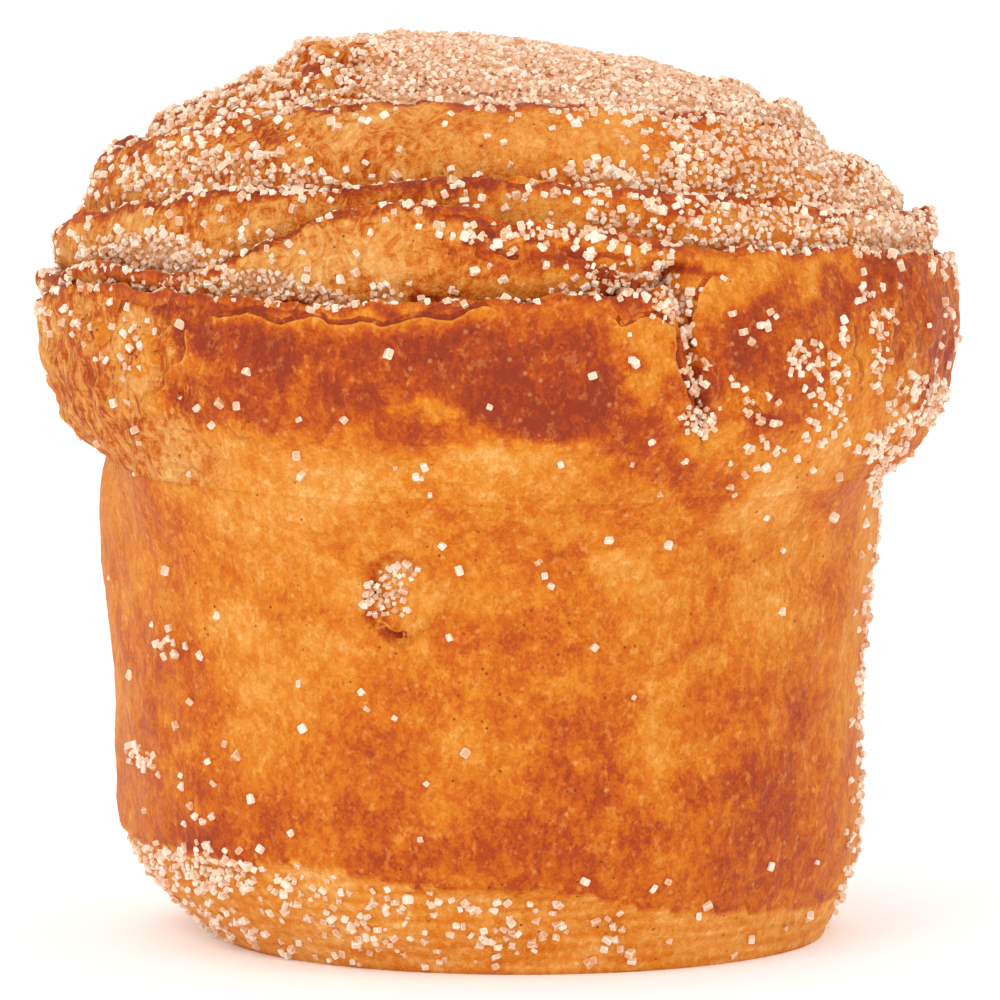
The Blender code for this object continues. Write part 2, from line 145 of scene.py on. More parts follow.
crust = {
    "columns": 400,
    "baseRows": 10,
    "wallRows": 74,
    "wallRowSpread": 1.15,
    "collarRows": 31,
    "domeRows": 133,
    "rowsPerLip": 5,
    "gatherReach": math.radians(12),
    "gatherShare": 0.6,
    "shredHeight": 0.00042,
    "shredLength": 0.0021,
    "crumbHeight": 0.00026,
    "crumbLength": 0.003,
    "grainHeight": 0.0001,
    "grainLength": 0.0012,
    "strandHeight": 0.00012,
    "strandSpacing": 0.0011,
    "sugarBed": 0.00075,
    "seamTop": 0.066,
    "seamFoot": 0.0485,
    "seamDepth": 0.0024,
    "seamHalfWidth": 0.0011,
    "seamDrift": math.radians(4),
    "skinEdge": 0.0084,
    "skinEdgeRise": 0.0016,
    "skinEdgeDrop": 0.0042,
    "skinStep": 0.0007,
    "skinStepWidth": 0.0007,
    "blisterAzimuth": math.radians(257.7),
    "blisterHeight": 0.0354,
    "blisterRadius": 0.0037,
    "blisterDepth": 0.0011,
    "blisterRim": 0.00035,
    # Browned and pale patches on the front: x, height, reach across, reach up, level from 0 pale to 1 dark
    "patches": (
        (-0.022, 0.0585, 0.0045, 0.003, 0.86), (-0.0205, 0.0575, 0.0026, 0.0032, 0.95),
        (-0.012, 0.0583, 0.007, 0.0026, 0.86), (-0.003, 0.0582, 0.008, 0.0034, 0.93),
        (0.005, 0.0575, 0.008, 0.004, 0.97), (0.004, 0.0538, 0.007, 0.0022, 0.97),
        (-0.012, 0.0546, 0.006, 0.0022, 0.86), (0.009, 0.0535, 0.0035, 0.0022, 0.93),
        (-0.022, 0.0528, 0.006, 0.0018, 0.78), (-0.027, 0.053, 0.004, 0.0015, 0.7),
        (-0.009, 0.0515, 0.0035, 0.0009, 0.72), (-0.015, 0.052, 0.003, 0.001, 0.74),
        (0.013, 0.0495, 0.004, 0.0022, 0.84), (0.017, 0.047, 0.003, 0.0022, 0.78),
        (0.0195, 0.0445, 0.004, 0.0024, 0.7), (0.012, 0.0465, 0.003, 0.0011, 0.68),
        (-0.006, 0.0533, 0.0025, 0.0009, 0.36), (0.0125, 0.06, 0.0018, 0.0015, 0.5),
        (0.0146, 0.057, 0.0015, 0.004, 0.3), (0.012, 0.0575, 0.0015, 0.0009, 0.52),
        (-0.0295, 0.0565, 0.002, 0.002, 0.36), (-0.031, 0.053, 0.002, 0.002, 0.28),
        (-0.0263, 0.0565, 0.0013, 0.0024, 0.45), (-0.017, 0.0616, 0.003, 0.0005, 0.48),
        (-0.035, 0.0616, 0.005, 0.0009, 0.78), (-0.03, 0.0622, 0.003, 0.0007, 0.84),
        (-0.038, 0.058, 0.003, 0.0025, 0.5), (-0.036, 0.054, 0.003, 0.002, 0.42),
        (0.022, 0.0585, 0.004, 0.0024, 0.84), (0.024, 0.0608, 0.004, 0.0019, 0.82),
        (0.0235, 0.0568, 0.0019, 0.0011, 0.92), (0.0315, 0.0622, 0.0028, 0.0021, 0.93),
        (0.027, 0.0615, 0.002, 0.0015, 0.8), (0.029, 0.0587, 0.0015, 0.0013, 0.7),
        (0.029, 0.0546, 0.0024, 0.0014, 0.84), (0.026, 0.0525, 0.0023, 0.0011, 0.7),
        (0.022, 0.0536, 0.003, 0.0015, 0.46), (0.033, 0.0595, 0.0018, 0.0026, 0.62),
        (0.04, 0.0595, 0.0022, 0.0034, 0.66), (0.0415, 0.056, 0.0015, 0.0026, 0.66),
        (0.037, 0.0605, 0.0018, 0.0018, 0.66), (0.033, 0.053, 0.0024, 0.0046, 0.34),
        (0.0365, 0.052, 0.002, 0.004, 0.32), (0.02, 0.051, 0.003, 0.0014, 0.3),
        (-0.015, 0.046, 0.008, 0.0028, 0.2), (0.0, 0.0485, 0.006, 0.0015, 0.22),
        (-0.02, 0.0425, 0.006, 0.003, 0.14), (-0.005, 0.0445, 0.005, 0.0019, 0.34),
        (0.005, 0.0428, 0.005, 0.0024, 0.38), (-0.008, 0.0415, 0.004, 0.0018, 0.36),
        (-0.02, 0.038, 0.006, 0.0026, 0.2), (-0.014, 0.036, 0.004, 0.0026, 0.22),
        (0.01, 0.0386, 0.003, 0.0022, 0.16), (0.013, 0.0362, 0.0035, 0.0018, 0.24),
        (0.025, 0.042, 0.004, 0.0028, 0.22), (0.028, 0.038, 0.003, 0.0036, 0.22),
        (0.024, 0.034, 0.0032, 0.0028, 0.18), (0.006, 0.034, 0.003, 0.0018, 0.44),
        (0.018, 0.0368, 0.0022, 0.0026, 0.4), (0.002, 0.0316, 0.003, 0.0015, 0.62),
        (-0.0025, 0.0326, 0.0026, 0.0019, 0.6), (0.018, 0.0306, 0.0024, 0.0011, 0.64),
        (-0.009, 0.027, 0.004, 0.0014, 0.52), (-0.006, 0.026, 0.0028, 0.0018, 0.6),
        (-0.012, 0.0223, 0.003, 0.0011, 0.64), (-0.009, 0.021, 0.0036, 0.0015, 0.64),
        (-0.007, 0.018, 0.0019, 0.0011, 0.68), (0.008, 0.0226, 0.0042, 0.0024, 0.72),
        (0.003, 0.023, 0.0028, 0.0018, 0.62), (0.01, 0.025, 0.0028, 0.0011, 0.62),
        (0.022, 0.026, 0.0028, 0.0019, 0.66), (0.016, 0.028, 0.0019, 0.0014, 0.56),
        (0.019, 0.025, 0.0019, 0.0018, 0.6), (0.027, 0.027, 0.0027, 0.0018, 0.56),
        (0.024, 0.0225, 0.0027, 0.0018, 0.52), (-0.022, 0.027, 0.0036, 0.0034, 0.26),
        (-0.024, 0.0325, 0.0046, 0.0026, 0.24), (-0.017, 0.03, 0.0036, 0.0028, 0.22),
        (-0.022, 0.022, 0.0028, 0.0026, 0.3), (-0.003, 0.022, 0.0018, 0.0018, 0.42),
        (0.0315, 0.025, 0.002, 0.007, 0.34), (0.027, 0.032, 0.0028, 0.0014, 0.3),
        (-0.017, 0.024, 0.0028, 0.0014, 0.36), (0.005, 0.0275, 0.0036, 0.0011, 0.34),
        (0.013, 0.0334, 0.0028, 0.0014, 0.36), (0.014, 0.0205, 0.0028, 0.0011, 0.4),
        (-0.021, 0.014, 0.004, 0.0024, 0.68), (-0.02, 0.0115, 0.0046, 0.0015, 0.64),
        (-0.008, 0.012, 0.0046, 0.002, 0.7), (-0.011, 0.0091, 0.0028, 0.0008, 0.74),
        (-0.013, 0.0155, 0.0024, 0.0009, 0.62), (-0.004, 0.0135, 0.0036, 0.0018, 0.66),
        (0.003, 0.0125, 0.0048, 0.003, 0.72), (0.0085, 0.0175, 0.0028, 0.0022, 0.8),
        (0.013, 0.0135, 0.0028, 0.0018, 0.7), (0.018, 0.0175, 0.0032, 0.0017, 0.72),
        (0.0225, 0.017, 0.0023, 0.0032, 0.82), (0.025, 0.013, 0.0028, 0.0032, 0.74),
        (0.02, 0.01, 0.0036, 0.0022, 0.68), (0.027, 0.008, 0.0028, 0.0015, 0.74),
        (0.0285, 0.0055, 0.0019, 0.0008, 0.76), (0.031, 0.01, 0.0014, 0.0028, 0.6),
        (-0.003, 0.0175, 0.0018, 0.0013, 0.44), (0.0, 0.019, 0.0019, 0.0009, 0.42),
        (-0.016, 0.0172, 0.0028, 0.0009, 0.42), (0.013, 0.0173, 0.0018, 0.0011, 0.48),
        (-0.033, 0.029, 0.0014, 0.0036, 0.62), (-0.029, 0.0285, 0.0023, 0.0015, 0.62),
        (-0.0265, 0.0275, 0.0014, 0.0013, 0.6), (-0.026, 0.0235, 0.0015, 0.0018, 0.6),
        (-0.0315, 0.022, 0.0019, 0.0023, 0.62), (-0.0335, 0.019, 0.0014, 0.0028, 0.55),
        (-0.031, 0.012, 0.0019, 0.0023, 0.58), (-0.024, 0.012, 0.0019, 0.0028, 0.6),
        (-0.035, 0.037, 0.0014, 0.0036, 0.52), (-0.03, 0.0195, 0.0018, 0.0014, 0.38),
        (-0.0165, 0.0814, 0.0045, 0.0008, 0.72), (-0.011, 0.083, 0.003, 0.0005, 0.7),
        (-0.02, 0.08, 0.0028, 0.001, 0.84), (-0.024, 0.077, 0.005, 0.001, 0.72),
        (-0.033, 0.074, 0.0026, 0.0016, 0.74), (-0.036, 0.0705, 0.0019, 0.0018, 0.56),
        (0.023, 0.0755, 0.0023, 0.0009, 0.48), (0.026, 0.0735, 0.0028, 0.0011, 0.44),
        (0.032, 0.072, 0.0018, 0.0009, 0.7), (0.03, 0.069, 0.0018, 0.0009, 0.7),
        (0.008, 0.0663, 0.003, 0.001, 0.9), (0.011, 0.0635, 0.0026, 0.001, 0.86),
        (-0.004, 0.0668, 0.003, 0.0005, 0.78),
        (-0.021, 0.0619, 0.006, 0.0006, 1.0), (-0.008, 0.0624, 0.006, 0.0005, 0.95),
        (0.007, 0.0657, 0.0052, 0.0012, 0.92), (0.0115, 0.064, 0.0026, 0.0018, 0.92),
        (-0.001, 0.0683, 0.0017, 0.0004, 1.0), (0.0065, 0.0676, 0.006, 0.0004, 0.8),
        (0.016, 0.0658, 0.005, 0.0006, 0.86), (0.017, 0.0704, 0.006, 0.0005, 0.8),
        (0.001, 0.0648, 0.004, 0.0007, 0.66), (-0.026, 0.0702, 0.005, 0.0005, 0.6),
    ),
}

domeRise = form["topHeight"] - form["collarHeight"]
domeSpan = (form["collarRadius"] + domeRise) / 2
rows = crust["baseRows"] + crust["wallRows"] + crust["collarRows"] + crust["domeRows"]
openFace = 0.009  # a face with no lip near it

lipPlaces = []
lipHeights = []
for turnNumber, heights in enumerate(coil["heights"]):
    for azimuth, height in zip(coil["azimuths"], heights):
        lipPlaces.append(turnNumber + (90 - azimuth) % 360 / 360)
        lipHeights.append(height)


def lipHeight(turns):
    near = [turns + step / 120 for step in range(-2, 3)]
    height = float(np.interp(near, lipPlaces, lipHeights).mean())
    azimuth = quarter - turns * turn
    x, y, whole = math.cos(azimuth), math.sin(azimuth), int(turns)
    height += coil["wander"] * noise.noise(Vector((3 * x, 3 * y, 2 * whole)))
    ragged = coil["raggedLength"] / form["collarRadius"]
    height += coil["raggedHeight"] * wobble(x, y, 0.3 * whole, ragged, 5.0)
    return height + 0.5 * coil["raggedHeight"] * wobble(x, y, 0.3 * whole, 0.35 * ragged, 9.0)


def lipsAt(azimuth):  # latitude, strength and turn of each lip over this azimuth, from the outside in
    pastBack = (quarter - azimuth) % turn / turn
    seam = (quarter - coil["seam"]) % turn / turn
    lips = []
    for turnNumber in range(len(coil["heights"])):
        turns = turnNumber + pastBack
        if turns < seam or turns > coil["innerEnd"]:
            continue
        latitude = math.asin(min((lipHeight(turns) - form["collarHeight"]) / domeRise, 0.999))
        if lips:
            latitude = max(latitude, lips[-1][0] + coil["leastGap"] / domeSpan)
        lips.append((latitude, smooth((coil["innerEnd"] - turns) * 4), turnNumber))
    return lips


def layerLift(past, gap, below, above):  # how far a wrap bulges, this far past the lip below it
    room = min(gap / coil["deepGap"], 1.0)
    grown = min(gap, 2 * coil["deepGap"]) * (1 if below else coil["wrapBulge"])
    dropped = smooth(past / coil["creviceWidth"]) if below else 1.0
    behind = max(past - coil["creviceWidth"], 0)
    hollow = coil["creviceDepth"] * below * room * math.exp(-behind / (0.25 * gap))
    face = coil["bulgeByGap"] * grown * math.sin(math.pi * min(past / gap, 1.0) ** 1.3)
    edge = (coil["lipLift"] + coil["lipLiftByGap"] * grown) * above
    edge *= smooth(1 - (gap - past) / (coil["lipWidth"] + 0.2 * gap))
    return mix(coil["lipLift"] * below, face + edge - hollow, dropped)


def capRelief(latitude):  # the wraps flatten towards the top
    flat = smooth((latitude - coil["capStart"]) / (coil["capEnd"] - coil["capStart"]))
    return mix(1.0, coil["capRelief"], flat)


def domeSection(azimuth):  # for each row: latitude, lift, way past the lip below, way to the lip above, turn
    lips = lipsAt(azimuth)
    stops = [(0, 0.0, 0.0, -1)]
    for number, (latitude, strength, turnNumber) in enumerate(lips):
        row = round(latitude / quarter * crust["domeRows"])
        row = min(row, crust["domeRows"] - crust["rowsPerLip"] * (len(lips) - number))
        stops.append((max(row, stops[-1][0] + crust["rowsPerLip"]), latitude, strength, turnNumber))
    stops.append((crust["domeRows"], quarter, 0.0, 9))
    section = [(0.0, 0.0, openFace, openFace, -1)]
    for (row, latitude, below, layer), (nextRow, nextLatitude, above, _) in zip(stops, stops[1:]):
        gap = (nextLatitude - latitude) * domeSpan
        start = coil["creviceWidth"] if below else 0.0
        steps = nextRow - row - (1 if below else 0)
        for step in range(0 if below else 1, steps + 1):
            past = start + (gap - start) * step / steps
            place = latitude + past / domeSpan
            lift = layerLift(past, gap, below, above) * capRelief(place)
            toLip = gap - past if above else openFace
            section.append((place, lift, past if below else openFace, toLip, layer))
    return section


def neckHeight(azimuth):
    return form["neckHeight"] - form["neckTilt"] * math.cos(azimuth)


def wallRadius(height):
    return mix(form["baseRadius"], form["neckRadius"], height / form["neckHeight"])


def cornerCut(azimuth, height):
    under = max(1 - height / form["cornerHeight"], 0.0)
    width = form["cornerWidth"] - form["cornerWidthChange"] * math.cos(azimuth)
    return width * under ** (form["cornerRoundness"] - form["cornerRoundnessChange"] * math.cos(azimuth))


def swell(azimuth, height, sharp):
    softness = smooth((form["softReach"] - abs(turnedFrom(azimuth, form["front"]))) / form["softFade"])
    soft = smooth((height - form["softFoot"]) / (form["collarHeight"] - form["softFoot"]))
    return (form["collarRadius"] - form["neckRadius"]) * mix(sharp, soft, softness)


def lean(height):  # how far to the right the cruffin is at this height
    body = form["bodyLean"] * smooth(height / 0.012)
    body *= 1 - smooth((height - form["neckHeight"] + 0.003) / 0.006)
    rise = max(height - form["collarHeight"], 0) / domeRise
    return body + form["tipLean"] * min(rise, 1.0) ** 9


def seamGroove(azimuth, height):  # the torn seam where the outer wrap ends
    if not crust["seamFoot"] < height < crust["seamTop"]:
        return 0.0
    down = (crust["seamTop"] - height) / (crust["seamTop"] - crust["seamFoot"])
    wander = 0.0006 * wobble(0, 0, height, 0.0022, 2.0) + 0.0003 * wobble(0, 0, height, 0.0008, 4.0)
    across = turnedFrom(azimuth, coil["seam"] + crust["seamDrift"] * down) * form["collarRadius"] + wander
    narrow = crust["seamHalfWidth"] * (1.2 - down)
    return crust["seamDepth"] * (1 - down) ** 0.5 * smooth(1 - abs(across) / narrow / 1.6)


def skinEdge(azimuth):  # height of the browned skin's lower edge
    x, y = math.cos(azimuth), math.sin(azimuth)
    edge = crust["skinEdge"] - crust["skinEdgeDrop"] * smooth(x / 0.9)
    edge += crust["skinEdgeRise"] * smooth(-x / 0.6)
    return edge + 0.0006 * wobble(x, y, 0, 0.25, 1.0) + 0.0003 * wobble(x, y, 0, 0.06, 3.0)


def blisterPlace(azimuth, height):  # how far from the blister's middle, in its radii, and how far left
    across = turnedFrom(azimuth, crust["blisterAzimuth"]) * form["neckRadius"]
    up = 0.95 * (height - crust["blisterHeight"])
    away = math.hypot(across, up) / crust["blisterRadius"] + 0.2 * wobble(across, 0, height, 0.0016, 31.0)
    return away, -across / crust["blisterRadius"]


def blisterDent(azimuth, height):
    away, left = blisterPlace(azimuth, height)
    rim = crust["blisterRim"] * smooth(1 - abs(away - 1.1) / 0.2)
    flap = 0.5 * crust["blisterDepth"] * smooth((-left - 0.1) / 0.3)
    return (crust["blisterDepth"] - flap) * smooth((1.0 - away) / 0.15) - rim


def strands(azimuth, along, layer, strength):  # thin layers of dough that lie along the coil
    x, y = math.cos(azimuth), math.sin(azimuth)
    bend = 0.9 * wobble(x, y, layer, 0.35, 6.0) + 0.4 * wobble(x, y, layer, 0.1, 7.0)
    ridge = math.sin(turn * (along / crust["strandSpacing"] + bend))
    broken = 0.55 + 0.45 * wobble(x, y, along * 200, 0.12, 8.0)
    return crust["strandHeight"] * strength * ridge * broken


def onCrust(azimuth, radius, height, outward, upward, lift=0.0):  # a point, lifted off the crust's face
    lump = form["lumpHeight"] * wobble(radius * math.cos(azimuth), radius * math.sin(azimuth), height,
                                       form["lumpLength"])
    radius += lump * smooth(height / 0.004) * smooth(radius / 0.01) - seamGroove(azimuth, height)
    for side, foot, top, depth in form["flats"]:
        high = smooth((height - foot) / 0.004) * smooth((top - height) / 0.003)
        radius -= depth * high * smooth((side * math.cos(azimuth) - 0.4) / 0.5)
    radius += outward * lift
    height += upward * lift
    x = radius * math.cos(azimuth) + lean(height)
    return Vector((x, radius * math.sin(azimuth) * form["depth"], max(height, 0.0))) + form["shift"]


def domePoint(latitude, lift):  # radius, height and the face's direction, outward and upward
    radius, height = form["collarRadius"] * math.cos(latitude), domeRise * math.sin(latitude)
    facing = Vector((radius / form["collarRadius"] ** 2, height / domeRise**2)).normalized()
    return radius + facing.x * lift, form["collarHeight"] + height + facing.y * lift, facing.x, facing.y


def patched(level, patches, x, z):  # the level here after each patch has drawn it towards its own
    for centreX, centreZ, reachX, reachZ, aim in patches:
        away = math.hypot((x - centreX) / reachX, (z - centreZ) / reachZ)
        if away < 1.35:
            level = mix(level, aim, smooth((1.35 - away) / 0.9))
    return level


def woundAt(azimuth, layer):  # turns of the coil from its outer end at the back
    return layer + (quarter - azimuth) % turn / turn


# How brown each part of the crust is, from 0 pale to 1 dark, with painted light and shade as well:
# paler wall sides, darker crevices past the lips and a darker ring round the blister
browningAndPaintedLightLevels = {
    "dome": 0.4,
    "domeChange": 0.12,
    "lipRim": 0.88,
    "lipRimWidth": 0.0013,
    "lipRimChange": 0.0008,
    "lipRimsEnd": 4.1,  # in turns of the coil
    # painted shade in the crevice past each lip, and the outer wrap's rim towards its lip
    "behindLip": 0.66,
    "wrap": 0.4,
    "wrapTop": 0.62,
    "crumbs": 0.22,
    "crumbLength": 0.002,
    "wall": 0.48,
    "wallChange": 0.17,
    "wallFoot": 0.1,
    "paintedLightOnWallSides": -0.14,
    "skinEdge": 0.72,
    "foot": 0.26,
    "frontWall": 0.51,
    "frontPatches": 0.8,
    "blister": 0.38,
    # level of the painted shade round the blister's dent
    "blisterRim": 0.92,
}


def bakedAt(azimuth, place, zone, past, toLip, layer):  # how brown the crust is, from 0 to 1, with the painted light and shade of the levels above
    x, y, z = place
    patchy = wobble(x, y, z, 0.011, 11.0) + 0.6 * wobble(x, y, z, 0.0045, 12.0)
    edge = skinEdge(azimuth)
    if zone == "dome":
        level = browningAndPaintedLightLevels["dome"] + browningAndPaintedLightLevels["domeChange"] * patchy
        rim = 0.85 + 0.4 * wobble(x, y, z, 0.006, 13.0)
        rim *= mix(1.0, 0.25, smooth((woundAt(azimuth, layer) - browningAndPaintedLightLevels["lipRimsEnd"]) / 0.5))
        width = browningAndPaintedLightLevels["lipRimWidth"] + browningAndPaintedLightLevels["lipRimChange"] * patchy
        level = mix(level, browningAndPaintedLightLevels["lipRim"], smooth(1.4 - toLip / width) * rim)
        # darker in the crevice just past the lip below: painted shade
        level = mix(level, browningAndPaintedLightLevels["behindLip"], smooth(1 - past / 0.001) * 0.6)
    elif zone == "wrap":
        leftish = smooth((-math.cos(azimuth) - 0.55) / 0.3)
        dark = mix(browningAndPaintedLightLevels["wrapTop"], browningAndPaintedLightLevels["wrap"], leftish) + 0.3 * patchy
        level = mix(browningAndPaintedLightLevels["wrap"] + 0.16 * patchy, dark, smooth((z - 0.049) / 0.003))
        crumbs = browningAndPaintedLightLevels["crumbs"] * smooth((-math.cos(azimuth) - 0.58) / 0.14)
        level += crumbs * wobble(x, y, z, browningAndPaintedLightLevels["crumbLength"], 18.0)
        level = mix(level, browningAndPaintedLightLevels["behindLip"], smooth(1 - toLip / 0.0012))
    elif z > edge:
        level = browningAndPaintedLightLevels["wall"] + browningAndPaintedLightLevels["wallChange"] * patchy
        level += browningAndPaintedLightLevels["wallFoot"] * smooth((0.03 - z) / 0.015)
        # paler towards the wall's left and right sides: painted light against the shading there
        level += browningAndPaintedLightLevels["paintedLightOnWallSides"] * smooth((abs(math.cos(azimuth)) - 0.8) / 0.18)
        level = mix(level, browningAndPaintedLightLevels["skinEdge"], 0.5 * smooth(1 - abs(z - edge) / 0.0004))
    else:
        layers = math.sin(turn * z / 0.0013 + 4 * patchy)
        level = browningAndPaintedLightLevels["foot"] + 0.12 * patchy + 0.1 * layers
    if y < 0 and z > edge:
        warpX = 0.002 * wobble(x, y, z, 0.007, 14.0) + 0.0018 * wobble(x, y, z, 0.0026, 15.0)
        warpZ = 0.0018 * wobble(x, y, z, 0.007, 16.0) + 0.0016 * wobble(x, y, z, 0.0026, 17.0)
        spot = patched(level, crust["patches"], x + warpX, z + warpZ)
        if zone == "wall" and z < 0.045:
            spot = mix(browningAndPaintedLightLevels["frontWall"], spot, browningAndPaintedLightLevels["frontPatches"])
            spot += 0.05 * smooth((0.022 - z) / 0.008)
        share = 0.9 if zone != "dome" else 0.9 * smooth((toLip - 0.0004) / 0.0008)
        level = mix(level, spot + 0.06 * patchy, share * smooth(-y / 0.006))
    away, left = blisterPlace(azimuth, z)
    if away < 1.3:
        # a darker ring round the blister's dent, strongest on its left: painted shade of the dent's edge
        paintedShadeRing = smooth(1 - abs(away - 0.98) / 0.11)
        level = mix(level, browningAndPaintedLightLevels["blister"] + 0.2 * patchy, smooth((1.0 - away) / 0.1))
        level = mix(level, browningAndPaintedLightLevels["blisterRim"], paintedShadeRing * (0.25 + 0.75 * smooth(0.4 + left)))
    return min(max(level, 0.0), 1.0)


sugar = {
    # How thick the sugar lies on the front: x, height, reach across, reach up, level
    "patches": (
        (-0.005, 0.0755, 0.013, 0.0022, 0.03), (0.009, 0.076, 0.008, 0.0018, 0.05),
        (-0.024, 0.073, 0.0065, 0.0018, 0.62), (-0.031, 0.0715, 0.0035, 0.0016, 0.45),
        (-0.018, 0.0724, 0.004, 0.0013, 0.5), (-0.019, 0.0805, 0.006, 0.0016, 0.12),
        (-0.0145, 0.0826, 0.004, 0.0009, 0.12),
        (-0.018, 0.0792, 0.004, 0.0004, 0.6), (-0.027, 0.0772, 0.005, 0.0013, 0.15),
        (-0.028, 0.0765, 0.0045, 0.0012, 0.25), (0.02, 0.0745, 0.004, 0.002, 0.5),
        (0.026, 0.0725, 0.004, 0.0022, 0.72), (0.031, 0.074, 0.004, 0.002, 0.85),
        (0.036, 0.068, 0.0045, 0.0032, 0.9), (-0.0305, 0.065, 0.0045, 0.0024, 0.85),
        (-0.035, 0.064, 0.0025, 0.0012, 0.35), (-0.0215, 0.0638, 0.0045, 0.0015, 0.8),
        (-0.015, 0.0629, 0.003, 0.0008, 0.62), (-0.0105, 0.0634, 0.002, 0.0009, 0.55),
        (-0.009, 0.067, 0.008, 0.0018, 0.05), (-0.017, 0.0686, 0.005, 0.001, 0.06),
        (-0.0045, 0.0635, 0.0025, 0.0007, 0.14), (0.003, 0.0706, 0.008, 0.0008, 0.1),
        (0.002, 0.0689, 0.007, 0.0005, 0.55), (0.013, 0.069, 0.005, 0.0014, 0.5),
        (0.022, 0.0686, 0.005, 0.0013, 0.62), (0.029, 0.067, 0.004, 0.0011, 0.5),
        (0.004, 0.065, 0.0035, 0.0014, 0.05), (0.011, 0.0653, 0.0028, 0.0009, 0.95),
        (0.0154, 0.0626, 0.0019, 0.0022, 1.0), (0.0178, 0.0564, 0.001, 0.0016, 0.9),
        (0.0182, 0.052, 0.0015, 0.0016, 0.95), (0.017, 0.0593, 0.0007, 0.0014, 0.5),
        (0.028, 0.057, 0.0015, 0.0012, 1.0), (0.0345, 0.056, 0.0011, 0.0026, 0.4),
        (0.0315, 0.059, 0.0008, 0.0014, 0.35), (0.0375, 0.053, 0.0018, 0.0012, 0.45),
        (0.0395, 0.0505, 0.0014, 0.0024, 0.65), (0.0345, 0.047, 0.0012, 0.002, 0.45),
        (0.035, 0.043, 0.001, 0.003, 0.7), (-0.0395, 0.0585, 0.0013, 0.0013, 0.22),
        (-0.0415, 0.058, 0.0009, 0.0016, 0.24), (-0.034, 0.0575, 0.003, 0.0035, 0.12),
        (-0.0295, 0.0295, 0.002, 0.0018, 0.14), (-0.0322, 0.0178, 0.0018, 0.0011, 0.25),
        (-0.0275, 0.014, 0.0026, 0.004, 0.07), (-0.026, 0.009, 0.0055, 0.0022, 0.33),
        (-0.012, 0.007, 0.009, 0.0013, 0.24), (-0.002, 0.0052, 0.006, 0.001, 0.16),
        (-0.0102, 0.0364, 0.0018, 0.0014, 1.0), (-0.0104, 0.0346, 0.0014, 0.0012, 1.0),
        (-0.0086, 0.0341, 0.0012, 0.0007, 0.95), (-0.008, 0.0378, 0.0014, 0.0007, 0.95),
        (-0.0055, 0.0708, 0.005, 0.0004, 0.3),
    ),
    # Crystals that stand alone on the front: x and height
    "alone": (
        (-0.0073, 0.047), (-0.0068, 0.0468), (-0.005, 0.0403), (-0.0035, 0.038), (0.0037, 0.0388),
        (0.0048, 0.0365), (0.0042, 0.0375), (-0.0315, 0.0308), (-0.0255, 0.0326), (-0.027, 0.0286),
        (-0.0043, 0.0318), (0.0087, 0.0308), (-0.0123, 0.0265), (-0.0118, 0.025), (-0.0093, 0.0243),
        (-0.018, 0.027), (0.0123, 0.026), (-0.028, 0.0243), (-0.0248, 0.0208), (-0.0293, 0.0218),
        (-0.0263, 0.019), (-0.0258, 0.017), (-0.0224, 0.016), (-0.028, 0.0146), (-0.0275, 0.0137),
        (-0.0264, 0.0112), (-0.0215, 0.0115), (-0.0188, 0.0132), (-0.007, 0.0132), (0.0079, 0.0093),
        (0.0141, 0.0083), (0.0154, 0.0089), (0.019, 0.0062), (-0.0226, 0.056), (-0.0287, 0.053),
        (-0.025, 0.053), (0.0085, 0.0563), (0.012, 0.0576), (-0.0283, 0.0294), (-0.0295, 0.0295),
    ),
    # How thick it lies elsewhere, from 0 to 1
    "domeLeft": 0.1,
    "domeRight": 0.7,
    "behindLip": 0.75,
    "onLip": 0.05,
    "cap": 0.95,
    "capStart": 2.85,  # in turns of the coil
    "capLeft": 0.35,
    "wrap": 0.02,
    "wrapClumps": 0.2,
    "wall": 0.006,
    "wallRight": 0.22,
    "wallClumps": 0.12,
    "footLeft": 0.2,
    "footRight": 0.04,
    "candidates": 60000,
    "spacing": 0.00055,
    "kinds": {
        "sugarCoarse": {"most": 4500, "sizes": (0.00056, 0.00088), "rounding": 0.14},
        "sugarMedium": {"most": 4500, "sizes": (0.00052, 0.0008), "rounding": 0.14},
        "sugarFine": {"most": 16000, "sizes": (0.00038, 0.00062), "rounding": 0.0},
    },
    "seed": 11,
}


def sugaredAt(azimuth, place, zone, past, toLip, layer):  # how thick the sugar lies, from 0 to 1
    x, y, z = place
    clumps = 0.5 + 0.5 * wobble(x, y, z, 0.0065, 21.0) + 0.25 * wobble(x, y, z, 0.0022, 22.0)
    side = smooth((math.cos(azimuth - math.radians(15)) + 0.35) / 0.9)  # the right side has more
    if z < 0.0006:
        return 0.0
    if zone == "dome":
        level = mix(sugar["domeLeft"], sugar["domeRight"], side) * (0.4 + clumps)
        level = max(level, sugar["behindLip"] * smooth(1 - past / 0.0014))
        level = mix(level, sugar["onLip"], smooth(1 - toLip / 0.001))
        cap = sugar["cap"] - 0.3 * smooth(1 - toLip / 0.0006)
        cap *= mix(1.0, sugar["capLeft"], smooth((-x - 0.013) / 0.008))
        level = mix(level, cap, smooth((woundAt(azimuth, layer) - sugar["capStart"]) / 0.35))
    elif zone == "wrap":
        level = sugar["wrap"] + sugar["wrapClumps"] * side * smooth((clumps - 0.55) / 0.2)
    else:
        right = smooth((math.cos(azimuth - math.radians(10)) - 0.86) / 0.12)
        level = sugar["wall"] + sugar["wallRight"] * right * clumps
        back = smooth((math.sin(azimuth) + 0.4) / 0.3)
        level += sugar["wallClumps"] * smooth((clumps - 0.78) / 0.1) * back
        low = smooth((skinEdge(azimuth) - z) / 0.001)
        foot = mix(sugar["footLeft"], sugar["footRight"], smooth(x / 0.02))
        level = mix(level, foot * (0.2 + clumps), low)
    if y < 0:
        level = mix(level, patched(level, sugar["patches"], x, z), smooth(-y / 0.004))
    return min(max(level, 0.0), 1.0)


